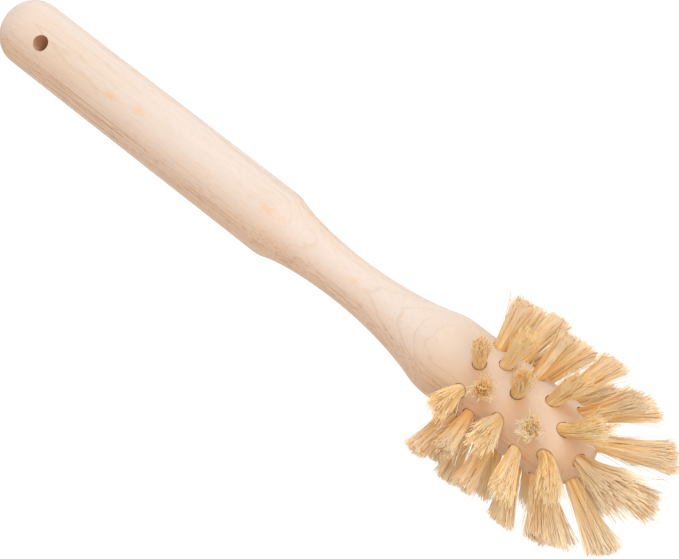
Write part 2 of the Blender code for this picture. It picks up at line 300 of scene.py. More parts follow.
class NodeSheet:
    """Adds and joins the nodes of one material."""

    def __init__(self, name: str) -> None:
        """Start a material with a Principled shader.

        Args:
            name: the material's name.
        """
        self.material = bpy.data.materials.new(name)
        self.material.use_nodes = True
        self.tree = self.material.node_tree
        self.shader = self.tree.nodes["Principled BSDF"]

    def feed(self, socket: Socket, value: Socket | float | Sequence[float]) -> None:
        """Join a socket to another, or set its value.

        Args:
            socket: the input.
            value: a number or colour, or the output that feeds it.
        """
        if isinstance(value, bpy.types.NodeSocket):
            self.tree.links.new(value, socket)
        else:
            socket.default_value = value

    def node(self, kind: str, inputs: dict | None = None, **settings: object) -> bpy.types.Node:
        """Add a node.

        Args:
            kind: the node's type name, without its ShaderNode prefix.
            inputs: sockets by name or number, each with a value or another socket.
            settings: the node's own settings.

        Returns:
            The node.
        """
        made = self.tree.nodes.new(f"ShaderNode{kind}")
        for key, value in settings.items():
            setattr(made, key, value)
        for key, value in (inputs or {}).items():
            self.feed(made.inputs[key], value)
        return made

    def maths(self, operation: str, *values: Socket | float) -> Socket:
        """The result of one sum on numbers."""
        return self.node("Math", dict(enumerate(values)), operation=operation).outputs[0]

    def times(self, first: Socket, *others: Socket | float) -> Socket:
        """The product of numbers.

        Args:
            first: the first of them.
            others: the rest.

        Returns:
            The last product's output.
        """
        for other in others:
            first = self.maths("MULTIPLY", first, other)
        return first

    def vector(self, operation: str, *values: Socket | Sequence[float]) -> bpy.types.Node:
        """A sum on vectors."""
        return self.node("VectorMath", dict(enumerate(values)), operation=operation)

    def stretch(self, place: Socket, scale: Scale) -> Socket:
        """A place multiplied by a scale on each axis."""
        return self.vector("MULTIPLY", place, scale).outputs[0]

    def station(self, place: Socket) -> Socket:
        """How far along the brush a place lies."""
        return self.node("SeparateXYZ", {"Vector": place}).outputs["Z"]

    def noise(self, place: Socket, noise: Noise, output: str | int = 0) -> Socket:
        """A noise's values at a place, or its colours, carried through its ramp.

        Args:
            place: where it is read.
            noise: its scale, detail, roughness and ramp.
            output: number or name of the output that is read.

        Returns:
            The values.
        """
        made = self.node("TexNoise", {"Vector": self.stretch(place, noise.scale), "Scale": 1.0,
                                      "Detail": noise.detail, "Roughness": noise.roughness})
        value = made.outputs[output]
        return self.ramp(value, *noise.ramp) if noise.ramp else value

    def ramp(self, value: Socket, low: float, high: float, start: float = 0.0,
             end: float = 1.0) -> Socket:
        """A value carried smoothly from one range to another, and held at its ends.

        Args:
            value: the value.
            low: where it gives the start.
            high: where it gives the end.
            start: the result at low.
            end: the result at high.

        Returns:
            The result, by the smooth step 3x² - 2x³.
        """
        made = self.node("MapRange", {"Value": value, "From Min": low, "From Max": high,
                                      "To Min": start, "To Max": end},
                         interpolation_type="SMOOTHSTEP")
        return made.outputs[0]

    def mix(self, share: Socket | float, first: Socket | Colour, second: Socket | Colour) -> Socket:
        """One colour mixed into another.

        Args:
            share: how much of the second there is.
            first: the colour below.
            second: the colour on top.

        Returns:
            The mixed colour.
        """
        made = self.node("Mix", data_type="RGBA")
        made.clamp_factor = True
        for number, value in zip(MIX_INPUTS, (share, first, second)):
            self.feed(made.inputs[number], (*value, 1.0) if isinstance(value, tuple) else value)
        return made.outputs[MIX_OUTPUT]

    def colours(self, value: Socket, stops: Sequence[tuple[float, Colour]]) -> Socket:
        """A colour looked up between stops.

        Args:
            value: the place between the first stop and the last.
            stops: each stop's place and colour.

        Returns:
            The colour.
        """
        made = self.node("ValToRGB", {"Fac": value})
        elements = made.color_ramp.elements
        while len(elements) < len(stops):
            elements.new(1.0)
        for element, (position, colour) in zip(elements, stops):
            element.position = position
            element.color = (*colour, 1.0)
        return made.outputs[0]

    def bump(self, height: Socket, distance: float) -> None:
        """Give the shader a bump whose full height is a distance."""
        made = self.node("Bump", {"Height": height, "Distance": distance, "Strength": 1.0})
        self.feed(self.shader.inputs["Normal"], made.outputs[0])

    def finish(self, **values: Socket | float | Sequence[float]) -> bpy.types.Material:
        """Set the shader's sockets and give the material.

        Args:
            values: what feeds each socket, by its name with _ for each space.

        Returns:
            The material.
        """
        for key, value in values.items():
            self.feed(self.shader.inputs[key.replace("_", " ")], value)
        return self.material


@dataclass(frozen=True)
class GrainMark:
    """A soft honey-coloured mark in the wood.

    Station, turn and radius say where it is, length and width how far it reaches along the
    grain and across it, and depth how strongly it shows.
    """

    station: float
    turn: float
    radius: float
    length: float
    width: float
    depth: float


@dataclass(frozen=True)
class BeechFinish:
    """Sanded, bare beech.

    Growth rings lie round a pith beside the brush, so that they show as straight lines on
    the grip and as long arches where the neck narrows and the head swells. Two noises bend
    them, each by a number of years. They show best on the two faces square to the pith,
    where rays make short brown dashes as well. The head is a little deeper in colour than
    the rest. A ramp is in the order that NodeSheet.ramp takes, and those of the head, the
    lines' fade and the curls run over stations.
    """

    name: str = "sanded_beech"
    pale: Colour = (0.845, 0.62, 0.48)
    warm: Colour = (0.83, 0.58, 0.41)
    ring: Colour = (0.62, 0.33, 0.155)
    ray: Colour = (0.50, 0.22, 0.075)
    honey: Colour = (0.89, 0.50, 0.25)
    head: Colour = (0.72, 0.47, 0.29)
    clouds: Noise = Noise((70.0, 70.0, 16.0), 3.0, ramp=(0.35, 0.70))
    head_ramp: Span = (0.190, 0.212, 0.0, 0.75)
    pores: Noise = Noise((3800.0, 3800.0, 270.0), roughness=0.6)
    pore_ramp: Span = (0.50, 0.76, 0.0, 0.26)
    pith_turn: float = 189.0
    pith_distance: float = 0.046
    pith_lean: float = 0.030
    ring_width: float = 0.0016
    ring_bends: tuple[tuple[Noise, float], ...] = (
        (Noise((90.0, 90.0, 14.0), 3.0), 2.2),
        (Noise((420.0, 420.0, 90.0)), 0.35),
    )
    ring_rise: Span = (0.78, 0.92)
    ring_fall: Span = (0.91, 1.0, 1.0, 0.0)
    ring_patches: Noise = Noise((45.0, 45.0, 20.0), ramp=(0.36, 0.62, 0.25, 1.0))
    ring_strengths: tuple[float, float] = (0.24, 0.55)
    ray_turn: float = -68.0
    ray_face_ramp: Span = (0.55, 0.93, 0.03, 1.0)
    dashes: Noise = Noise((2600.0, 2600.0, 300.0), 1.0, ramp=(0.62, 0.67))
    dash_patches: Noise = Noise((160.0, 160.0, 40.0), ramp=(0.25, 0.50))
    dash_strength: float = 0.50
    line_contours: Noise = Noise((1850.0, 1850.0, 14.0), 0.8)
    line_ramp: Span = (0.014, 0.050, 1.0, 0.0)
    line_breaks: Noise = Noise((800.0, 800.0, 45.0), ramp=(0.36, 0.54, 0.15, 1.0))
    line_fade: Span = (0.185, 0.215, 1.0, 0.6)
    line_strength: float = 0.62
    curls: Noise = Noise((250.0, 250.0, 475.0))
    curl_rise: Span = (0.112, 0.135, 0.0002, 0.0018)
    curl_fade: Span = (0.135, 0.175, 1.0, 0.10)
    ragged: Noise = Noise((1800.0, 1800.0, 900.0), 3.0, 0.65)
    ragged_reach: tuple[float, float] = (4.0, -1.6)
    mark_fade: Span = (0.3, 2.0)
    marks: tuple[GrainMark, ...] = (
        GrainMark(0.0548, 2.8, 0.0120, 0.0026, 0.0010, 0.85),
        GrainMark(0.0663, 12.5, 0.0120, 0.0024, 0.0015, 0.70),
        GrainMark(0.1250, 11.8, 0.0118, 0.0027, 0.0013, 0.80),
        GrainMark(0.1302, 15.0, 0.0108, 0.0019, 0.0011, 0.40),
        GrainMark(0.1618, 7.7, 0.0084, 0.0022, 0.0010, 0.50),
        GrainMark(0.1655, 2.0, 0.0088, 0.0040, 0.0007, 0.50),
        GrainMark(0.0400, 150.0, 0.0120, 0.0016, 0.0008, 0.45),
        GrainMark(0.0950, -130.0, 0.0120, 0.0022, 0.0008, 0.50),
    )
    relief: float = 0.00003
    rough_ramp: Span = (0.3, 0.7, 0.56, 0.70)
    specular: float = 0.5
    sheen: float = 0.12
    sheen_roughness: float = 0.5

    def grain_place(self, sheet: NodeSheet, axes: BrushAxes) -> Socket:
        """Object coordinates turned into brush coordinates by a Mapping node.

        Args:
            sheet: the nodes so far.
            axes: where the brush lies.

        Returns:
            The place in brush coordinates.
        """
        place = sheet.node("TexCoord").outputs["Object"]
        turn = Matrix(axes.turn).transposed().to_euler("XYZ")
        mapping = sheet.node("Mapping", {"Vector": place, "Location": axes.butt, "Rotation": turn},
                             vector_type="TEXTURE")
        return mapping.outputs[0]

    def pith(self) -> tuple[float, float]:
        """The pith's place beside the butt, as (side, up)."""
        side, up = turned(self.pith_turn)
        return self.pith_distance * side, self.pith_distance * up

    def rings(self, sheet: NodeSheet, place: Socket) -> Socket:
        """Growth rings: each starts pale and ends in a thin darker line.

        The ring number is the distance from the leaning pith over the ring width, bent by
        noise, and its fraction runs from 0 to 1 over one year.

        Args:
            sheet: the nodes so far.
            place: where the rings are read.

        Returns:
            How dark the ring is, from 0 to 1.
        """
        offset = sheet.vector("SUBTRACT", place, (*self.pith(), 0.0)).outputs[0]
        side, up, along = sheet.node("SeparateXYZ", {"Vector": offset}).outputs
        leaned = sheet.maths("ADD", side, sheet.times(along, self.pith_lean))
        flat = sheet.node("CombineXYZ", {"X": leaned, "Y": up})
        reach = sheet.vector("LENGTH", flat.outputs[0]).outputs["Value"]
        years = sheet.maths("DIVIDE", reach, self.ring_width)
        for noise, size in self.ring_bends:
            years = sheet.maths("ADD", years, sheet.times(sheet.noise(place, noise), size))
        share = sheet.maths("FRACT", years)
        return sheet.times(sheet.ramp(share, *self.ring_rise), sheet.ramp(share, *self.ring_fall),
                           sheet.noise(place, self.ring_patches))

    def ray_face(self, sheet: NodeSheet, place: Socket) -> Socket:
        """How far a place lies on the two faces where the rays show.

        Args:
            sheet: the nodes so far.
            place: the place.

        Returns:
            The share, from the cosine of the angle between the place and the nearer face.
        """
        flat = sheet.vector("NORMALIZE", sheet.stretch(place, (1.0, 1.0, 0.0))).outputs[0]
        towards = (*turned(self.ray_turn), 0.0)
        facing = sheet.vector("DOT_PRODUCT", flat, towards).outputs["Value"]
        return sheet.ramp(sheet.maths("ABSOLUTE", facing), *self.ray_face_ramp)

    def rays(self, sheet: NodeSheet, place: Socket) -> Socket:
        """Short dashes along the grain, strongest on the two ray faces."""
        return sheet.times(sheet.noise(place, self.dashes), self.ray_face(sheet, place),
                           sheet.noise(place, self.dash_patches))

    def lines(self, sheet: NodeSheet, place: Socket) -> Socket:
        """Long thin lines along the grain on the two ray faces, wavy from the shoulder on.

        They are the contours where a noise that is stretched along the grain crosses its
        middle, broken up by a second noise.

        Args:
            sheet: the nodes so far.
            place: where the lines are read.

        Returns:
            How dark a line is, from 0 to 1.
        """
        station = sheet.station(place)
        wave = sheet.noise(place, self.curls, "Color")
        swing = sheet.vector("SUBTRACT", wave, (NOISE_MIDDLE,) * 3).outputs[0]
        amount = sheet.times(sheet.ramp(station, *self.curl_rise),
                             sheet.ramp(station, *self.curl_fade))
        curled = sheet.node("VectorMath", {"Vector": swing, "Scale": amount},
                            operation="SCALE").outputs[0]
        bent = sheet.vector("ADD", place, curled).outputs[0]
        height = sheet.noise(bent, self.line_contours)
        apart = sheet.maths("ABSOLUTE", sheet.maths("SUBTRACT", height, NOISE_MIDDLE))
        return sheet.times(sheet.ramp(apart, *self.line_ramp), sheet.noise(bent, self.line_breaks),
                           sheet.ramp(station, *self.line_fade), self.ray_face(sheet, place))

    def honey_marks(self, sheet: NodeSheet, place: Socket) -> Socket:
        """How strongly the honey marks show: each fades from its middle to its reach.

        Args:
            sheet: the nodes so far.
            place: where the marks are read.

        Returns:
            The share of the honey colour.
        """
        total: Socket | float = 0.0
        ragged = sheet.maths("MULTIPLY_ADD", sheet.noise(place, self.ragged), *self.ragged_reach)
        for mark in self.marks:
            side, up = turned(mark.turn)
            middle = (mark.radius * side, mark.radius * up, mark.station)
            offset = sheet.vector("SUBTRACT", place, middle).outputs[0]
            scaled = sheet.stretch(offset, (1 / mark.width, 1 / mark.width, 1 / mark.length))
            reach = sheet.maths("ADD", sheet.vector("LENGTH", scaled).outputs["Value"], ragged)
            fading = sheet.ramp(reach, *self.mark_fade, mark.depth, 0.0)
            total = sheet.maths("MAXIMUM", total, fading)
        return total

    def lay_out(self, axes: BrushAxes) -> tuple[NodeSheet, Socket, Socket]:
        """Lay out the wood's colour: one layer after the other, each with its share.

        Args:
            axes: where the brush lies.

        Returns:
            The node sheet, the colour and the fine pores' height.
        """
        sheet = NodeSheet(self.name)
        place = self.grain_place(sheet, axes)
        pores = sheet.noise(place, self.pores)
        ring_strength = sheet.ramp(self.ray_face(sheet, place), 0.0, 1.0, *self.ring_strengths)
        colour = sheet.mix(sheet.noise(place, self.clouds), self.pale, self.warm)
        layers = (
            (sheet.ramp(sheet.station(place), *self.head_ramp), self.head),
            (sheet.times(self.rings(sheet, place), ring_strength), self.ring),
            (sheet.ramp(pores, *self.pore_ramp), self.ring),
            (sheet.times(self.lines(sheet, place), self.line_strength), self.ray),
            (self.honey_marks(sheet, place), self.honey),
            (sheet.times(self.rays(sheet, place), self.dash_strength), self.ray),
        )
        for share, layer in layers:
            colour = sheet.mix(share, colour, layer)
        return sheet, colour, pores

    def material(self, axes: BrushAxes) -> bpy.types.Material:
        """Make the turned surface's material.

        Args:
            axes: where the brush lies.

        Returns:
            The material.
        """
        sheet, colour, pores = self.lay_out(axes)
        sheet.bump(pores, self.relief)
        return sheet.finish(Base_Color=colour, Roughness=sheet.ramp(pores, *self.rough_ramp),
                            Specular_IOR_Level=self.specular, Sheen_Weight=self.sheen,
                            Sheen_Roughness=self.sheen_roughness)


@dataclass(frozen=True)
class DrilledBeechFinish(BeechFinish):
    """The walls of drilled holes: the same wood, left rough and mixed with a darker brown,
    which is drill scorching in the through hole and mostly painted shade in the tuft seats.
    """

    name: str = "drilled_beech"
    brown_and_shade: Colour = (0.56, 0.25, 0.03)
    brown_and_shade_share: float = 0.34
    relief: float = 0.00009
    roughness: float = 0.85
    specular: float = 0.1

    def material(self, axes: BrushAxes) -> bpy.types.Material:
        """Make the hole walls' material.

        Args:
            axes: where the brush lies.

        Returns:
            The material.
        """
        sheet, colour, pores = self.lay_out(axes)
        sheet.bump(pores, self.relief)
        # The mixed-in brown is drill scorching in the through hole, and mostly painted shade of the
        # deep walls in the tuft seats.
        return sheet.finish(Base_Color=sheet.mix(self.brown_and_shade_share, colour, self.brown_and_shade),
                            Roughness=self.roughness, Specular_IOR_Level=self.specular)


@dataclass(frozen=True)
class BristleFinish:
    """Blond natural bristle: deep gold at the root, straw in the middle, pale frayed tips.

    Bristles of low tint are mixed with amber and those of high tint with straw. A tint of 1
    is one of the few dark bristles.
    """

    name: str = "blond_bristle"
    root: Colour = (0.89, 0.59, 0.21)
    middle: Colour = (0.905, 0.70, 0.385)
    tip: Colour = (0.92, 0.82, 0.655)
    amber: Colour = (0.86, 0.54, 0.21)
    straw: Colour = (0.95, 0.86, 0.69)
    dark: Colour = (0.42, 0.18, 0.04)
    middle_run: float = 0.42
    amber_ramp: Span = (0.45, 0.10)
    straw_ramp: Span = (0.50, 0.90)
    dark_ramp: Span = (0.98, 1.0)
    mixed_in: float = 0.85
    roughness: float = 0.5
    specular: float = 0.3

    def material(self) -> bpy.types.Material:
        """Make the bristles' material.

        Returns:
            The material, which reads each bristle's run and tint.
        """
        sheet = NodeSheet(self.name)
        run, tint = (sheet.node("Attribute", attribute_name=read.value).outputs["Fac"]
                     for read in (Attribute.RUN, Attribute.TINT))
        colour = sheet.colours(run, ((0.0, self.root), (self.middle_run, self.middle),
                                     (1.0, self.tip)))
        for ramp, layer in ((self.amber_ramp, self.amber), (self.straw_ramp, self.straw),
                            (self.dark_ramp, self.dark)):
            colour = sheet.mix(sheet.ramp(tint, *ramp, 0.0, self.mixed_in), colour, layer)
        return sheet.finish(Base_Color=colour, Roughness=self.roughness,
                            Specular_IOR_Level=self.specular)


@dataclass(frozen=True)
class StapleFinish:
    """Drawn steel wire with faint lines and a little tarnish."""

    name: str = "drawn_steel"
    bright: Colour = (0.62, 0.61, 0.59)
    tarnish: Colour = (0.30, 0.25, 0.20)
    patches: Noise = Noise((900.0, 900.0, 900.0), 3.0)
    tarnish_ramp: Span = (0.45, 0.75)
    rough_ramp: Span = (0.3, 0.8, 0.28, 0.55)
    scratches: Noise = Noise((4000.0, 4000.0, 4000.0))
    relief: float = 0.00001

    def material(self) -> bpy.types.Material:
        """Make the wire's material.

        Returns:
            The material.
        """
        sheet = NodeSheet(self.name)
        place = sheet.node("TexCoord").outputs["Object"]
        patches = sheet.noise(place, self.patches)
        colour = sheet.mix(sheet.ramp(patches, *self.tarnish_ramp), self.bright, self.tarnish)
        sheet.bump(sheet.noise(place, self.scratches), self.relief)
        return sheet.finish(Base_Color=colour, Metallic=1.0,
                            Roughness=sheet.ramp(patches, *self.rough_ramp))


@dataclass(frozen=True)
class FloorFinish:
    """A light table: it glows white itself, so that next to no shadow shows on it."""

    name: str = "white_table"
    surface: Colour = (0.12, 0.12, 0.12)
    roughness: float = 0.9
    glow: float = 1.0
    glow_colour: Colour = (1.0, 1.0, 1.0)

    def material(self) -> bpy.types.Material:
        """The floor's material."""
        return NodeSheet(self.name).finish(
            Base_Color=(*self.surface, 1.0), Roughness=self.roughness, Specular_IOR_Level=0.0,
            Emission_Color=(*self.glow_colour, 1.0), Emission_Strength=self.glow)


def new_object(name: str, data: bpy.types.ID) -> bpy.types.Object:
    """A new object in the scene.

    Args:
        name: the object's name.
        data: its mesh, camera or lamp.

    Returns:
        The object, at the origin.
    """
    made = bpy.data.objects.new(name, data)
    bpy.context.scene.collection.objects.link(made)
    return made


def lit_group(slot: Slot) -> bpy.types.Collection:
    """The pieces of one slot, as a group that a lamp can be kept to."""
    name = f"{slot.value}_pieces"
    return bpy.data.collections.get(name) or bpy.data.collections.new(name)


def add_piece(name: str, mesh: bpy.types.Mesh, materials: Sequence[bpy.types.Material],
              slot: Slot, replaced: str | None = None) -> bpy.types.Object:
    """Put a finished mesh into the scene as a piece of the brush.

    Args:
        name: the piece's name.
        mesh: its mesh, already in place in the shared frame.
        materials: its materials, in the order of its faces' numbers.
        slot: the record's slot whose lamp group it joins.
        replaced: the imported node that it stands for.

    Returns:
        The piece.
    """
    piece = new_object(name, mesh)
    lit_group(slot).objects.link(piece)
    for material in materials:
        mesh.materials.append(material)
    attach(piece, BODY)
    if replaced:
        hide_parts(replaced)
    LOG.info("%s: %d faces", name, len(mesh.polygons))
    return piece


@dataclass(frozen=True)
class Habit:
    """How use has bent a tuft: how far its tips have moved over for each unit of height.

    Along moves them towards the head's tip, beside moves them round the axis, splay widens
    the tuft's fan, in degrees, and curl multiplies the curls at its tips. Tone makes its
    bristles paler, or more golden where it is below zero; for d1 and f1 the paler tone is partly
    painted light, lifting the shade between their ends. Reach is the share of their length
    that is left, and wear is how much more of it some of them have lost. A tuft marked for
    painted light, mostly one of those on top whose ends face the camera, takes a brighter copy
    of the bristle finish: painted light standing for light that reaches down between its ends.
    """

    along: float = 0.0
    beside: float = 0.0
    splay: float = 0.0
    curl: float = 1.0
    tone: float = 0.0
    reach: float = 1.0
    wear: float = 0.0
    painted_light: bool = False


@dataclass(frozen=True)
class TuftSeat:
    """A drilled hole for a tuft, in brush coordinates.

    The rows of turn are the seat's own directions: across the hole in the plane of the brush
    axis, across it sideways, and out along the hole.
    """

    name: str
    mouth: Array
    turn: Array
    row: TuftRow
    habit: Habit

    @property
    def fan(self) -> float:
        """How far the tuft fans out to each side, in radians."""
        return math.radians(self.row.fan + self.habit.splay)

    @property
    def bend(self) -> Array:
        """How far the tips have moved over for each unit of height, (2,)."""
        return np.array((self.habit.along, self.habit.beside))

    def place(self, points: Array) -> Array:
        """Seat coordinates turned into brush coordinates."""
        return self.mouth + points @ self.turn


@dataclass(frozen=True)
class TuftRow:
    """A ring of tufts at one station of the head.

    The rim drop is how far a hole's rim lies below its mouth's middle where it is lowest.
    """

    letter: str
    count: int
    first_turn: float
    station: float
    radius: float
    lean: float
    depth: float
    fan: float
    tone: float
    rim_drop: float

    def seats(self, habits: dict[str, Habit]) -> list[TuftSeat]:
        """The row's seats.

        Args:
            habits: the tufts that use has bent, by their names.

        Returns:
            One seat for each tuft, numbered round the axis from up towards side.
        """
        made = []
        axis = np.array((0.0, 0.0, 1.0))
        tilt = math.radians(self.lean)
        for number in range(self.count):
            outward = np.array((*turned(self.first_turn + number * 360.0 / self.count), 0.0))
            along = outward * math.cos(tilt) + axis * math.sin(tilt)
            across = axis * math.cos(tilt) - outward * math.sin(tilt)
            name = f"{self.letter}{number + 1}"
            made.append(TuftSeat(name, outward * self.radius + axis * self.station,
                                 np.stack((across, np.cross(along, across), along)), self,
                                 habits.get(name, Habit())))
        return made


@dataclass
class TurnedHandle:
    """Grip, neck and head, turned from one piece of beech."""

    grip_diameter: float = 0.0240
    butt_dome_length: float = 0.0109
    grip_length: float = 0.1240
    shoulder_length: float = 0.0045
    shoulder_drop: float = 0.00065
    taper_slope: float = 0.354
    taper_length: float = 0.0285
    neck_diameter: float = 0.0163
    flare_length: float = 0.0365
    flare_slope: float = 0.306
    head_edge_length: float = 0.0075
    head_edge_drop: float = 0.00105
    head_diameter: float = 0.0281
    head_length: float = 0.0442
    head_end_diameter: float = 0.0275
    tip_dome_length: float = 0.0120
    tip_flat_diameter: float = 0.0084
    hanging_hole_diameter: float = 0.0057
    hanging_hole_station: float = 0.0219
    tuft_hole_diameter: float = 0.0048
    butt_rings: int = 36
    grip_rings: int = 60
    shoulder_rings: int = 10
    taper_rings: int = 26
    flare_rings: int = 30
    head_edge_rings: int = 12
    head_rings: int = 48
    tip_rings: int = 28
    flat_rings: int = 4
    taper_pulls: tuple[float, float] = (0.19, 0.39)
    flare_pulls: tuple[float, float] = (0.41, 0.23)
    steps: int = 160
    hole_sides: int = 40
    drill_reference: tuple[float, float, float] = (0.31, 0.17, 0.93)
    sharp_angle: float = 32.0

    @property
    def taper_start(self) -> float:
        """Station where the taper begins."""
        return self.grip_length + self.shoulder_length

    @property
    def neck_station(self) -> float:
        """Station of the narrowest place."""
        return self.taper_start + self.taper_length

    @property
    def flare_end(self) -> float:
        """Station where the flare meets the head's rounded edge."""
        return self.neck_station + self.flare_length

    @property
    def head_start(self) -> float:
        """Station where the full head begins."""
        return self.flare_end + self.head_edge_length

    @property
    def head_end(self) -> float:
        """Station where the head's dome begins."""
        return self.head_start + self.head_length

    @property
    def tip_angle(self) -> float:
        """Angle on the dome, in radians from its rim, where the flat end begins."""
        return math.acos(self.tip_flat_diameter / self.head_end_diameter)

    @property
    def length(self) -> float:
        """Length of the wood from the butt to the tip's flat."""
        return self.head_end + self.tip_dome_length * math.sin(self.tip_angle)

    def outline(self) -> Array:
        """Outline of the handle as (station, radius), from the butt to the tip.

        Ellipses make the two domes, Bezier curves of second degree round the shoulder and the
        head's edge, and cubic ones draw the taper and the flare. Pulls are how far a cubic's
        inner controls lie from its two ends, as shares of its length.

        Returns:
            Points as (count, 2).
        """
        grip, neck = self.grip_diameter / 2, self.neck_diameter / 2
        head, head_end = self.head_diameter / 2, self.head_end_diameter / 2
        butt = quarter_ellipse(self.butt_dome_length, grip, self.butt_dome_length,
                               np.radians(np.linspace(-90, 0, self.butt_rings)))
        butt[0] = 0.0
        barrel = np.linspace(self.butt_dome_length, self.grip_length, self.grip_rings)[1:]
        grip_sides = np.stack((barrel, np.full_like(barrel, grip)), axis=-1)
        taper_radius = grip - self.shoulder_drop
        shoulder = bezier(((self.grip_length, grip),
                           (self.taper_start - self.shoulder_drop / self.taper_slope, grip),
                           (self.taper_start, taper_radius)), self.shoulder_rings)
        first, last = np.array(self.taper_pulls) * self.taper_length
        taper = bezier(((self.taper_start, taper_radius),
                        (self.taper_start + first, taper_radius - first * self.taper_slope),
                        (self.neck_station - last, neck),
                        (self.neck_station, neck)), self.taper_rings)
        flare_radius = head - self.head_edge_drop
        first, last = np.array(self.flare_pulls) * self.flare_length
        flare = bezier(((self.neck_station, neck),
                        (self.neck_station + first, neck),
                        (self.flare_end - last, flare_radius - last * self.flare_slope),
                        (self.flare_end, flare_radius)), self.flare_rings)
        edge = bezier(((self.flare_end, flare_radius),
                       (self.flare_end + self.head_edge_drop / self.flare_slope, head),
                       (self.head_start, head)), self.head_edge_rings)
        share = np.linspace(0, 1, self.head_rings)[1:-1]
        sides = np.stack((self.head_start + share * self.head_length,
                          head + share * (head_end - head)), axis=-1)
        tip = quarter_ellipse(self.head_end, head_end, self.tip_dome_length,
                              np.linspace(0, self.tip_angle, self.tip_rings))
        inwards = np.linspace(1, 0, self.flat_rings + 1)[1:, None]
        flat = inwards * (0, tip[-1, 1]) + (tip[-1, 0], 0)
        return np.concatenate((butt, grip_sides, shoulder, taper, flare, edge, sides, tip, flat))

    def head_radius(self, station: float) -> float:
        """Radius at a station of the head.

        Args:
            station: a station on the head's sides or on its dome.

        Returns:
            The radius, from the straight taper of the sides or the ellipse of the dome.
        """
        if station <= self.head_end:
            share = (station - self.head_start) / self.head_length
            return (self.head_diameter + share * (self.head_end_diameter - self.head_diameter)) / 2
        share = (station - self.head_end) / self.tip_dome_length
        return self.head_end_diameter / 2 * math.sqrt(1 - share * share)

    def dome_station(self, radius: float) -> float:
        """Station on the dome where its radius is the one given."""
        share = 2 * radius / self.head_end_diameter
        return self.head_end + self.tip_dome_length * math.sqrt(1 - share * share)

    def drills(self, axes: BrushAxes, seats: Sequence[TuftSeat]) -> bpy.types.Object:
        """Every drill as one cutter: a blind one for each tuft, and one through the grip.

        Args:
            axes: where the brush lies.
            seats: the holes for the tufts.

        Returns:
            The cutter, whose faces carry the numbers of the walls that they leave.
        """
        starts = [seat.place(np.array((0, 0, -seat.row.depth))) for seat in seats]
        ends = [seat.place(np.array((0, 0, self.tuft_hole_diameter))) for seat in seats]
        radii = [self.tuft_hole_diameter / 2] * len(seats)
        starts.append(np.array((0, -self.grip_diameter, self.hanging_hole_station)))
        ends.append(np.array((0, self.grip_diameter, self.hanging_hole_station)))
        radii.append(self.hanging_hole_diameter / 2)
        paths = axes.place(np.stack((starts, ends), axis=1))
        # No drill runs along the reference.
        points, faces = swept_tubes(paths, np.repeat(np.array(radii)[:, None], 2, axis=1),
                                    self.hole_sides, unit(np.array(self.drill_reference)))
        mesh = mesh_from_arrays("drills", points, faces)
        for _ in HandleFace:
            mesh.materials.append(None)
        drill = np.concatenate((np.repeat(np.arange(len(radii)), self.hole_sides),
                                np.tile(np.arange(len(radii)), 2)))
        drilled = np.where(drill < len(seats), HandleFace.SEAT.value, HandleFace.BORE.value)
        mesh.polygons.foreach_set("material_index", drilled.astype(np.int32))
        return new_object("drills", mesh)

    def build(self, axes: BrushAxes, seats: Sequence[TuftSeat],
              finishes: dict[HandleFace, BeechFinish]) -> bpy.types.Object:
        """Turn and drill the handle.

        Args:
            axes: where the brush lies.
            seats: the holes for the tufts.
            finishes: finish of each kind of face.

        Returns:
            The piece beech_turned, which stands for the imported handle.
        """
        points, faces = lathe(self.outline(), self.steps)
        blank = new_object("blank", mesh_from_arrays("blank", axes.place(points), faces))
        drills = self.drills(axes, seats)
        for _ in HandleFace:
            blank.data.materials.append(None)
        cut = blank.modifiers.new("drilled", "BOOLEAN")
        cut.operation = "DIFFERENCE"
        cut.solver = "EXACT"
        cut.object = drills
        graph = bpy.context.evaluated_depsgraph_get()
        mesh = bpy.data.meshes.new_from_object(blank.evaluated_get(graph))
        mesh.name = "beech_turned"
        for obj in (blank, drills):
            bpy.data.objects.remove(obj)
        kinds = np.zeros(len(mesh.polygons), np.int32)
        mesh.polygons.foreach_get("material_index", kinds)
        mesh.materials.clear()
        mesh.shade_smooth()
        mesh.set_sharp_from_angle(angle=math.radians(self.sharp_angle))
        materials = [finishes[face].material(axes) for face in HandleFace]
        piece = add_piece("beech_turned", mesh, materials, Slot.BEECH, "beech_handle")
        # Clearing the materials has set every face's number back to 0.
        mesh.polygons.foreach_set("material_index", kinds)
        return piece


@dataclass
class Trim:
    """The outline that the bristle tips are cut to: a cylinder that ends in a dome."""

    diameter: float = 0.0644
    dome_station: float = 0.2456
    dome_length: float = 0.0410
    halvings: int = 30

    def reach(self, roots: Array, directions: Array) -> Array:
        """How far lines run from their roots to the outline, found by halving.

        A point (x, y, s) is inside while (x² + y²) / r² + max(0, s - d)² / l² is under 1.

        Args:
            roots: starts in brush coordinates, (..., 3).
            directions: unit directions, (..., 3).

        Returns:
            Lengths, (...).
        """
        low = np.zeros(roots.shape[:-1])
        high = np.full(roots.shape[:-1], self.diameter + self.dome_length)
        for _ in range(self.halvings):
            middle = (low + high) / 2
            points = roots + middle[..., None] * directions
            across = np.linalg.norm(points[..., :2], axis=-1) / (self.diameter / 2)
            beyond = np.maximum(0, points[..., 2] - self.dome_station) / self.dome_length
            inside = across**2 + beyond**2 < 1
            low = np.where(inside, middle, low)
            high = np.where(inside, high, middle)
        return low


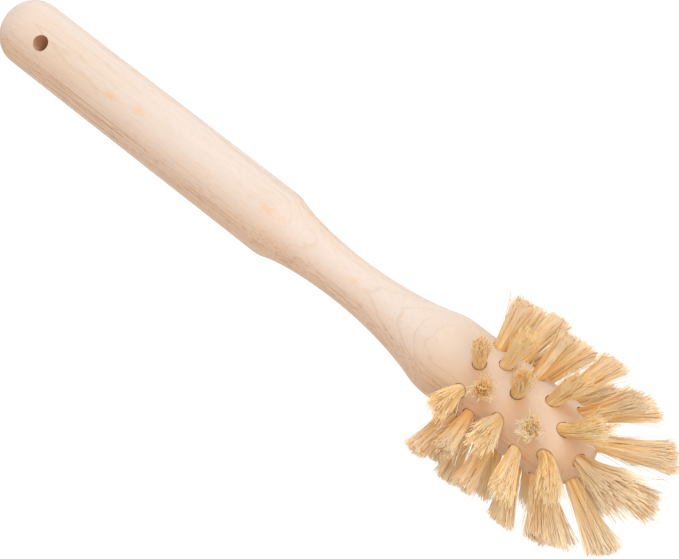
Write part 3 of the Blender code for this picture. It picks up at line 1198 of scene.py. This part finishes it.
@dataclass
class BristleTuft:
    """A tuft: bristles folded under the staple's crown, their two ends fanned out.

    A bristle's tint mixes its clump's shade with its own, and most_tint keeps it apart from
    the dark bristles, whose tint is 1.
    """

    bristles: int = 300
    bundle_radius: float = 0.00214
    root_scatter: float = 0.00004
    bristle_radius: float = 0.000099
    thickness: tuple[float, float] = (0.75, 1.2)
    tip_share: float = 0.90
    fold_width: float = 0.42
    fold_least: float = 0.00045
    fold_most: float = 0.0019
    crown_height: float = 0.0025
    clumps: int = 28
    clump_pull: float = 0.55
    crowding: float = 0.6
    tuft_wander: float = 0.020
    clump_wander: float = 0.024
    wander: float = 0.026
    stray_share: float = 0.04
    stray_wander: float = 0.12
    flare: float = 0.35
    curl: float = 0.00016
    clump_curl: float = 0.00022
    curl_start: float = 0.55
    curl_sag: float = 0.3
    wave: float = 0.00024
    wave_turns: tuple[float, float] = (0.5, 1.3)
    common_wear: float = 0.022
    broken_share: float = 0.12
    broken_off: tuple[float, float] = (0.02, 0.22)
    wear: float = 0.11
    free_points: int = 8
    point_power: float = 0.8
    sides: int = 3
    floor_gap: float = 0.00016
    clump_shade: float = 0.6
    most_tint: float = 0.97
    dark_share: float = 0.035
    first_seed: int = 1000

    @property
    def shares(self) -> Array:
        """Shares of a free end's height at which its points lie."""
        return np.linspace(0, 1, self.free_points) ** self.point_power

    def roots(self, rng: np.random.Generator) -> Array:
        """Where both ends of each bristle leave the hole, (2, bristles, 2).

        Points of a sunflower disc on one side of the staple are mirrored to the other, so
        that each bristle's two ends face each other across the crown.

        Args:
            rng: source of the random draws.

        Returns:
            The places across the hole.
        """
        disc = sunflower(2 * self.bristles, self.bundle_radius)
        half = disc[disc[:, 1] > 0]
        ends = np.stack((half, half * (1, -1)))
        return ends + rng.normal(0, self.root_scatter, ends.shape)

    def spread(self, roots: Array, seat: TuftSeat, rng: np.random.Generator) -> tuple[Array, Array]:
        """How far each end leans sideways for each unit of height, and its clump's number.

        An end at a share r of the bundle's radius leans outwards by r^(1 + c) times the
        fan's slope, where c is the crowding. Neighbours gather in clumps, each with a small
        lean of its own, and a few bristles stray. The tuft's own bend comes on top of this.

        Args:
            roots: where the ends leave the hole.
            seat: the hole.
            rng: source of the random draws.

        Returns:
            The slopes, (2, bristles, 2), and the clumps' numbers, (2, bristles).
        """
        centres = sunflower(self.clumps, self.bundle_radius)
        away = np.linalg.norm(roots[..., None, :] - centres, axis=-1)
        clump = np.argmin(away, axis=-1)
        aim = (1 - self.clump_pull) * roots + self.clump_pull * centres[clump]
        aim /= self.bundle_radius
        slope = aim * np.linalg.norm(aim, axis=-1, keepdims=True)**self.crowding * math.tan(seat.fan)
        slope += rng.normal(0, self.tuft_wander, 2)
        slope += rng.normal(0, self.clump_wander, (self.clumps, 2))[clump]
        slope += rng.normal(0, self.wander, slope.shape)
        stray = rng.random(slope.shape[:-1]) < self.stray_share
        slope += stray[..., None] * rng.normal(0, self.stray_wander, slope.shape)
        return slope, clump

    def free_ends(self, roots: Array, slope: Array, clump: Array, seat: TuftSeat, trim: Trim,
                  rng: np.random.Generator) -> Array:
        """Paths of the free ends in seat coordinates.

        Each end is as long as the trim's outline allows, times the tuft's reach, less its
        wear: a little for all, a broken piece for a few, and an even draw up to the tuft's
        own wear. At share t of its height h an end has gone sideways by h times its slope
        times (1 - f) t + f t², where f is the flare, and by h times the tuft's bend times
        t². A wave that grows with t is added, and past share c a curl by the square of
        (t - c) / (1 - c), which also lowers the tip. Shares lie closer towards the tip.

        Args:
            roots: where the ends leave the hole.
            slope: how far they lean.
            clump: their clumps' numbers.
            seat: the hole.
            trim: the outline of the tips.
            rng: source of the random draws.

        Returns:
            The paths, (2, bristles, free_points, 3).
        """
        habit, bend = seat.habit, seat.bend
        lift = np.ones(slope.shape[:-1] + (1,))
        chord = unit(np.concatenate((slope + bend, lift), axis=-1))
        start = np.concatenate((roots, 0 * lift), axis=-1)
        length = trim.reach(seat.place(start), chord @ seat.turn)
        worn = np.abs(rng.normal(0, self.common_wear, length.shape))
        broken = rng.random(length.shape) < self.broken_share
        worn += broken * rng.uniform(*self.broken_off, length.shape)
        worn += (self.wear + habit.wear) * rng.random(length.shape)
        height = (habit.reach * (1 - worn) * length * chord[..., 2])[..., None]
        t = self.shares
        sideways = (1 - self.flare) * t + self.flare * t**2
        path = np.empty(length.shape + (self.free_points, 3))
        path[..., :2] = roots[..., None, :] + (slope * height)[..., None, :] * sideways[:, None]
        path[..., :2] += (bend * height)[..., None, :] * (t**2)[:, None]
        path[..., 2] = height * t
        turns = rng.uniform(*self.wave_turns, length.shape)[..., None] * t
        phase = rng.random(length.shape + (2, 1))
        waves = np.sin(2 * math.pi * (turns[..., None, :] + phase)) * t
        size = rng.normal(0, self.wave, length.shape)[..., None, None]
        path[..., :2] += np.swapaxes(size * waves, -1, -2)
        curls = rng.normal(0, self.clump_curl, (self.clumps, 2))[clump]
        curls += rng.normal(0, self.curl, slope.shape)
        curls *= habit.curl
        curling = np.maximum(0, (t - self.curl_start) / (1 - self.curl_start)) ** 2
        path[..., :2] += curls[..., None, :] * curling[:, None]
        path[..., 2] -= self.curl_sag * np.linalg.norm(curls, axis=-1)[..., None] * curling
        return path

    def folds(self, roots: Array, seat: TuftSeat) -> Array:
        """The five hidden points of each bristle, in seat coordinates.

        Both ends start at the rim's lowest place. Between them is a half turn round the
        staple's crown, drawn in between its legs.

        Args:
            roots: where the ends leave the hole.
            seat: the hole.

        Returns:
            The points, (5, bristles, 3).
        """
        share = np.abs(roots[0, :, 1]) / self.bundle_radius
        reach = self.fold_least + share * (self.fold_most - self.fold_least)
        across = roots[0, :, 0] * self.fold_width
        crown = np.full_like(reach, self.crown_height - seat.row.depth)
        rim = np.full_like(roots[..., :1], -seat.row.rim_drop)
        knees = np.concatenate((roots, rim), axis=-1)
        return np.stack((
            knees[0],
            np.stack((across, reach, crown), axis=-1),
            np.stack((across, 0 * reach, crown - reach), axis=-1),
            np.stack((across, -reach, crown), axis=-1),
            knees[1],
        ))

    def tints(self, clump: Array, tone: float, rng: np.random.Generator) -> Array:
        """Tint of each free end.

        Args:
            clump: the ends' clumps' numbers.
            tone: what the whole tuft's tint is raised by.
            rng: source of the random draws.

        Returns:
            Tints between 0 and 1, in the shape of the numbers.
        """
        shade = rng.random(self.clumps)[clump]
        tint = self.clump_shade * shade + (1 - self.clump_shade) * rng.random(shade.shape)
        tint = np.clip(tint + tone, 0, self.most_tint)
        return np.where(rng.random(shade.shape) < self.dark_share, 1.0, tint)

    def build(self, number: int, seat: TuftSeat, axes: BrushAxes, trim: Trim,
              material: bpy.types.Material) -> bpy.types.Object:
        """Make one tuft.

        Args:
            number: the tuft's number, which seeds its random draws.
            seat: its hole.
            axes: where the brush lies.
            trim: the outline of its tips.
            material: the bristle's material.

        Returns:
            The piece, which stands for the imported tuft.
        """
        rng = np.random.default_rng(self.first_seed + number)
        roots = self.roots(rng)
        slope, clump = self.spread(roots, seat, rng)
        free = self.free_ends(roots, slope, clump, seat, trim, rng)
        folds = np.swapaxes(self.folds(roots, seat), 0, 1)
        paths = np.concatenate((free[0, :, ::-1], folds, free[1]), axis=1)
        placed = axes.place(seat.place(paths))
        placed[..., 2] = np.maximum(placed[..., 2], self.floor_gap)
        run = np.concatenate((self.shares[::-1], np.zeros(folds.shape[1]), self.shares))
        radii = self.bristle_radius * (1 - (1 - self.tip_share) * run**2)
        radii = radii * rng.uniform(*self.thickness, (len(paths), 1))
        points, faces = swept_tubes(placed, radii, self.sides, seat.turn[0] @ axes.turn)
        mesh = mesh_from_arrays(f"bristles_{seat.name}", points, faces)
        mesh.shade_flat()
        tint = self.tints(clump, seat.row.tone + seat.habit.tone, rng)
        parts = (tint[0], tint.mean(axis=0), tint[1])
        counts = (self.free_points, folds.shape[1], self.free_points)
        tints = np.repeat(np.stack(parts, axis=1), counts, axis=1)
        for attribute, values in ((Attribute.RUN, np.broadcast_to(run, tints.shape)),
                                  (Attribute.TINT, tints)):
            data = mesh.attributes.new(attribute.value, "FLOAT", "POINT").data
            data.foreach_set("value", np.repeat(values.ravel(), self.sides).astype(np.float32))
        return add_piece(f"bristles_{seat.name}", mesh, (material,), Slot.BRISTLE,
                         f"tuft_{seat.name}")


@dataclass
class Staple:
    """A wire staple: a crown over the fold of its tuft, and two pointed legs in the wood."""

    wire_diameter: float = 0.0006
    point_share: float = 0.3
    width: float = 0.0024
    leg_reach: float = 0.0020
    corner_radius: float = 0.00045
    corner_points: int = 5
    sides: int = 8

    def path(self, seat: TuftSeat, crown_height: float) -> Array:
        """The wire's centreline in seat coordinates.

        Quarter circles join the two legs to the crown. The other leg is the mirror image.

        Args:
            seat: the hole that it sits in.
            crown_height: height of the crown over the hole's bottom.

        Returns:
            The points from one leg's foot to the other's.
        """
        half = self.width / 2
        crown = crown_height - seat.row.depth
        foot = -seat.row.depth - self.leg_reach
        angle = np.linspace(0, math.pi / 2, self.corner_points)
        bend_x = half - self.corner_radius + self.corner_radius * np.cos(angle)
        bend_z = crown - self.corner_radius + self.corner_radius * np.sin(angle)
        x = np.concatenate(((half, half, half), bend_x))
        z = np.concatenate(((foot, foot + self.wire_diameter, (foot + crown) / 2), bend_z))
        right = np.stack((x, np.zeros_like(x), z), axis=-1)
        return np.concatenate((right, right[::-1] * (-1, 1, 1)))

    def build(self, seat: TuftSeat, axes: BrushAxes, crown_height: float,
              material: bpy.types.Material) -> bpy.types.Object:
        """Make one staple.

        Args:
            seat: the hole that it sits in.
            axes: where the brush lies.
            crown_height: height of the crown over the hole's bottom.
            material: the wire's material.

        Returns:
            The piece.
        """
        path = self.path(seat, crown_height)
        radii = np.full(len(path), self.wire_diameter / 2)
        radii[[0, -1]] *= self.point_share
        placed = axes.place(seat.place(path))
        points, faces = swept_tubes(placed[None], radii[None], self.sides,
                                    seat.turn[1] @ axes.turn)
        mesh = mesh_from_arrays(f"staple_{seat.name}", points, faces)
        return add_piece(f"staple_{seat.name}", mesh, (material,), Slot.STAPLE)


@dataclass
class BrushHead:
    """Every tuft and staple of the head, in five rows round it and one on its dome."""

    tufts_per_row: int = 8
    tufts_in_end_row: int = 4
    letters: str = "abcde"
    end_letter: str = "f"
    offsets: tuple[float, ...] = (0.0120, 0.0184, 0.0274, 0.0372, 0.0465)
    leans: tuple[float, ...] = (0.0, 12.0, 12.0, 21.0, 43.0)
    fans: tuple[float, ...] = (4.5, 4.5, 5.0, 5.5, 6.0)
    tones: tuple[float, ...] = (0.0, 0.0, 0.0, 0.0, 0.06)
    hole_depth: float = 0.0060
    rim_curve: float = 0.0004
    end_row_radius: float = 0.0070
    end_row_lean: float = 62.0
    end_hole_depth: float = 0.0050
    end_fan: float = 7.0
    end_tone: float = 0.08
    habits: dict[str, Habit] = field(default_factory=lambda: {
        # Tufts marked for painted light take the brighter bristle copy; the pale tones of d1 and f1
        # partly paint light into the shade between their ends.
        "a1": Habit(0.04, 0.0, splay=-2.5, curl=1.4, tone=-0.06, reach=0.92, wear=0.30,
                    painted_light=True),
        "a8": Habit(0.10, -0.10, splay=4.0, curl=1.4, wear=0.35, painted_light=True),
        "b1": Habit(0.06, 0.07, splay=-2.4, curl=4.2, tone=-0.12, wear=0.30, painted_light=True),
        "b2": Habit(wear=0.25, painted_light=True),
        "c1": Habit(-0.04, 0.03, curl=1.4, tone=-0.08, wear=0.35, painted_light=True),
        "c8": Habit(-0.02, -0.08, splay=6.0, tone=0.12, wear=0.40, painted_light=True),
        "d1": Habit(-0.10, 0.06, splay=-3.2, curl=4.0, tone=0.30, wear=0.25, painted_light=True),
        "d2": Habit(-0.04, -0.035, wear=0.25, painted_light=True),
        "d8": Habit(splay=2.0, tone=0.12, wear=0.20, painted_light=True),
        "e1": Habit(-0.045, 0.13, wear=0.30, tone=-0.05, painted_light=True),
        "e2": Habit(-0.06, -0.03),
        "e7": Habit(-0.04, -0.035),
        "e8": Habit(-0.07, -0.12, tone=0.10, wear=0.30, painted_light=True),
        "f1": Habit(0.0, 0.08, splay=9.0, tone=0.14, wear=0.15),
    })
    tuft: BristleTuft = field(default_factory=BristleTuft)
    staple: Staple = field(default_factory=Staple)
    trim: Trim = field(default_factory=Trim)

    def seats(self, handle: TurnedHandle) -> list[TuftSeat]:
        """The seats of every row. Each second row, from the first, is turned by half a step.

        Args:
            handle: the handle that the head belongs to.

        Returns:
            The seats, row after row.
        """
        half_step = 180.0 / self.tufts_per_row
        seats = []
        rows = zip(self.letters, self.offsets, self.leans, self.fans, self.tones)
        for number, (letter, offset, lean, fan, tone) in enumerate(rows):
            station = handle.head_start + offset
            drop = self.rim_curve + handle.tuft_hole_diameter / 2 * math.tan(math.radians(lean))
            row = TuftRow(letter, self.tufts_per_row, 0.0 if number % 2 else half_step, station,
                          handle.head_radius(station), lean, self.hole_depth, fan, tone, drop)
            seats += row.seats(self.habits)
        end_row = TuftRow(self.end_letter, self.tufts_in_end_row, 0.0,
                          handle.dome_station(self.end_row_radius), self.end_row_radius,
                          self.end_row_lean, self.end_hole_depth, self.end_fan, self.end_tone,
                          self.rim_curve)
        return seats + end_row.seats(self.habits)

    def build(self, seats: Sequence[TuftSeat], axes: BrushAxes, bristle: BristleFinish,
              painted_light: BristleFinish, wire: StapleFinish) -> None:
        """Make every tuft and its staple.

        Args:
            seats: the holes.
            axes: where the brush lies.
            bristle: finish of most tufts.
            painted_light: finish of the tufts marked for painted light: a brighter copy of the
                bristle finish.
            wire: finish of the staples.
        """
        plain, golden, steel = bristle.material(), painted_light.material(), wire.material()
        for number, seat in enumerate(seats):
            # Marked tufts take the brighter copy: painted light between their ends.
            finish = golden if seat.habit.painted_light else plain
            self.tuft.build(number, seat, axes, self.trim, finish)
            self.staple.build(seat, axes, self.tuft.crown_height, steel)


@dataclass(frozen=True)
class PhotoCamera:
    """The camera of the product photograph.

    It looks down on the lying brush. Tilt is how much nearer the head is than a brush that
    lies square to the view, roll turns the brush about its own axis, and picture_turn is the
    axis' slope in the picture. The picture's middle falls on the axis at a station, a little
    to its side.
    """

    picture_width: int = 679
    focal_pixels: float = 2450.0
    sensor_width: float = 36.0
    distance: float = 0.7936
    station: float = 0.15465
    beside: float = 0.001846
    tilt: float = 20.0
    roll: float = 4.2
    picture_turn: float = 37.9
    clip: tuple[float, float] = (0.01, 20.0)

    def directions(self, axes: BrushAxes) -> tuple[Array, Array, Array]:
        """The picture's own directions in the shared frame.

        Args:
            axes: where the brush lies.

        Returns:
            The picture's right, its up, and the way back to the camera.
        """
        tilt, turn = math.radians(self.tilt), math.radians(self.picture_turn)
        facing = axes.direction(self.roll)
        beside = axes.direction(self.roll + 90.0)
        along = math.cos(tilt) * axes.turn[2] - math.sin(tilt) * facing
        back = math.sin(tilt) * axes.turn[2] + math.cos(tilt) * facing
        right = math.cos(turn) * along + math.sin(turn) * beside
        upward = math.cos(turn) * beside - math.sin(turn) * along
        return right, upward, back

    def middle(self, axes: BrushAxes) -> Array:
        """What the picture's middle falls on."""
        return (axes.place(np.array((0, 0, self.station)))
                - self.beside * axes.direction(self.roll + 90.0))

    def build(self, axes: BrushAxes) -> None:
        """Make the camera and give it to the scene.

        Args:
            axes: where the brush lies.
        """
        right, upward, back = self.directions(axes)
        data = bpy.data.cameras.new("photo_camera")
        data.sensor_width = self.sensor_width
        data.lens = self.focal_pixels / self.picture_width * self.sensor_width
        data.clip_start, data.clip_end = self.clip
        place = Matrix(np.stack((right, upward, back), axis=1)).to_4x4()
        place.translation = Vector(self.middle(axes) + self.distance * back)
        camera = new_object("photo_camera", data)
        camera.matrix_world = place
        bpy.context.scene.camera = camera


@dataclass(frozen=True)
class SoftLight:
    """A large rectangular lamp, at a place given in the picture's own directions.

    A lamp with a slot lights only the pieces of that slot.
    """

    name: str
    right: float
    upward: float
    back: float
    width: float
    height: float
    power: float
    colour: Colour = (1.0, 1.0, 1.0)
    slot: Slot | None = None

    def build(self, target: Array, directions: tuple[Array, Array, Array]) -> None:
        """Hang the lamp and aim it.

        Args:
            target: what it is aimed at.
            directions: the picture's right, its up, and the way back to the camera.
        """
        right, upward, back = directions
        place = Vector(target + self.right * right + self.upward * upward + self.back * back)
        data = bpy.data.lights.new(self.name, "AREA")
        data.shape = "RECTANGLE"
        data.size = self.width
        data.size_y = self.height
        data.energy = self.power
        data.color = self.colour
        lamp = new_object(self.name, data)
        lamp.location = place
        lamp.rotation_euler = (Vector(target) - place).to_track_quat("-Z", "Y").to_euler()
        if self.slot:
            lamp.light_linking.receiver_collection = lit_group(self.slot)


@dataclass
class Studio:
    """The white table, its lamps and the light all round."""

    floor_size: float = 24.0
    bounces: int = 12
    surround: float = 0.50
    surround_colour: Colour = (1.0, 0.92, 0.81)
    lamps: tuple[SoftLight, ...] = (
        SoftLight("wood_key", 0.10, 1.05, 1.00, 1.0, 0.8, 16.5, (0.35, 0.66, 1.0), Slot.BEECH),
        SoftLight("bristle_key", 0.10, 0.88, 1.20, 1.0, 0.8, 9.0, (1.0, 0.93, 0.84),
                  Slot.BRISTLE),
        SoftLight("fill_light", 0.10, 0.1, 1.7, 1.2, 1.2, 13.6, (1.0, 0.90, 0.78)),
    )

    def build_floor(self, finish: FloorFinish) -> None:
        """Lay the table under the brush.

        Args:
            finish: the table's finish.
        """
        half = self.floor_size / 2
        points = np.array(((-half, -half, 0), (half, -half, 0), (half, half, 0), (-half, half, 0)))
        mesh = mesh_from_arrays("table", points, [np.array([[0, 1, 2, 3]])])
        mesh.materials.append(finish.material())
        table = new_object("table", mesh)

    def build(self, camera: PhotoCamera, axes: BrushAxes, finish: FloorFinish) -> None:
        """Set up the table, the lamps, the world and the colour transform.

        Args:
            camera: the camera, in whose directions the lamps are placed.
            axes: where the brush lies.
            finish: the table's finish.
        """
        self.build_floor(finish)
        for lamp in self.lamps:
            lamp.build(camera.middle(axes), camera.directions(axes))
        world = bpy.data.worlds.new("white_room")
        world.use_nodes = True
        sky = world.node_tree.nodes["Background"]
        sky.inputs["Color"].default_value = (*self.surround_colour, 1.0)
        sky.inputs["Strength"].default_value = self.surround
        scene = bpy.context.scene
        scene.world = world
        scene.view_settings.view_transform = "Standard"
        scene.cycles.diffuse_bounces = self.bounces


def main() -> None:
    """Build the camera, the studio and the brush, in that order."""
    logging.basicConfig(level=logging.INFO, format="%(name)s: %(message)s")
    handle = TurnedHandle()
    head = BrushHead()
    camera = PhotoCamera()
    axes = BrushAxes.from_mounts(frame["record"], handle.length)
    seats = head.seats(handle)
    camera.build(axes)
    Studio().build(camera, axes, FloorFinish())
    handle.build(axes, seats, {
        HandleFace.TURNED: BeechFinish(),
        HandleFace.BORE: DrilledBeechFinish(),
        # The tuft seats' walls are almost wholly dark brown: painted shade of the deep narrow holes
        # round the tufts, with a little drill scorching.
        HandleFace.SEAT: DrilledBeechFinish(name="seat_beech_painted_shade", brown_and_shade=(0.31, 0.10, 0.02),
                                            brown_and_shade_share=0.94),
    })
    # A brighter copy of the bristle finish for the marked tufts, dark bristles included: painted
    # light standing for light that reaches down between their ends.
    golden = BristleFinish(name="bristle_painted_light", root=(0.93, 0.75, 0.43),
                           middle=(0.985, 0.82, 0.48), tip=(0.99, 0.88, 0.63),
                           amber=(0.95, 0.70, 0.31), straw=(0.99, 0.93, 0.79),
                           dark=(0.76, 0.44, 0.15))
    head.build(seats, axes, BristleFinish(), golden, StapleFinish())


if __name__ == "__main__":
    main()
